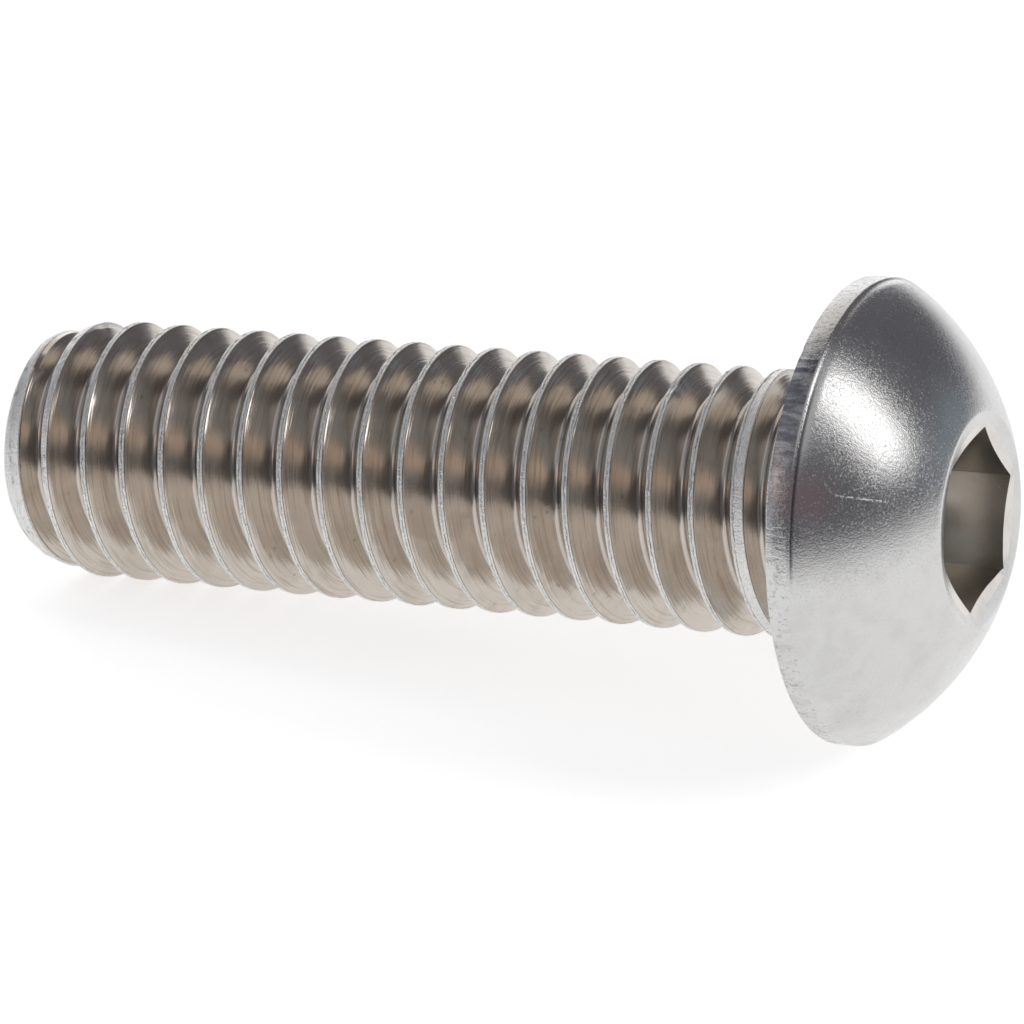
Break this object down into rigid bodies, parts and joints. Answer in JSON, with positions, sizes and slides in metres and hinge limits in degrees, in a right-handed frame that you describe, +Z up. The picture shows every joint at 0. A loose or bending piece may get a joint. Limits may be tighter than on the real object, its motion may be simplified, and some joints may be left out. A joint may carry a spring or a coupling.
{
  "type": "button head screw",
  "caption": "Screw with a low round head, a hexagon socket and a coarse right-hand thread on nearly the whole shank, with a tapered tip.",
  "frame": {"origin": "middle of the box of the screw as it lies at rest, at the height of the surface it lies on", "axes": "+Z up; the screw's axis lies in the XZ plane with the head towards +X, and rises towards the head by 6.65 degrees"},
  "size_m": [0.0368, 0.0162, 0.0162],
  "materials": {
    "steel": "tumbled stainless steel"
  },
  "bodies": {
    "root": {"screw": "steel"}
  },
  "joints": []
}
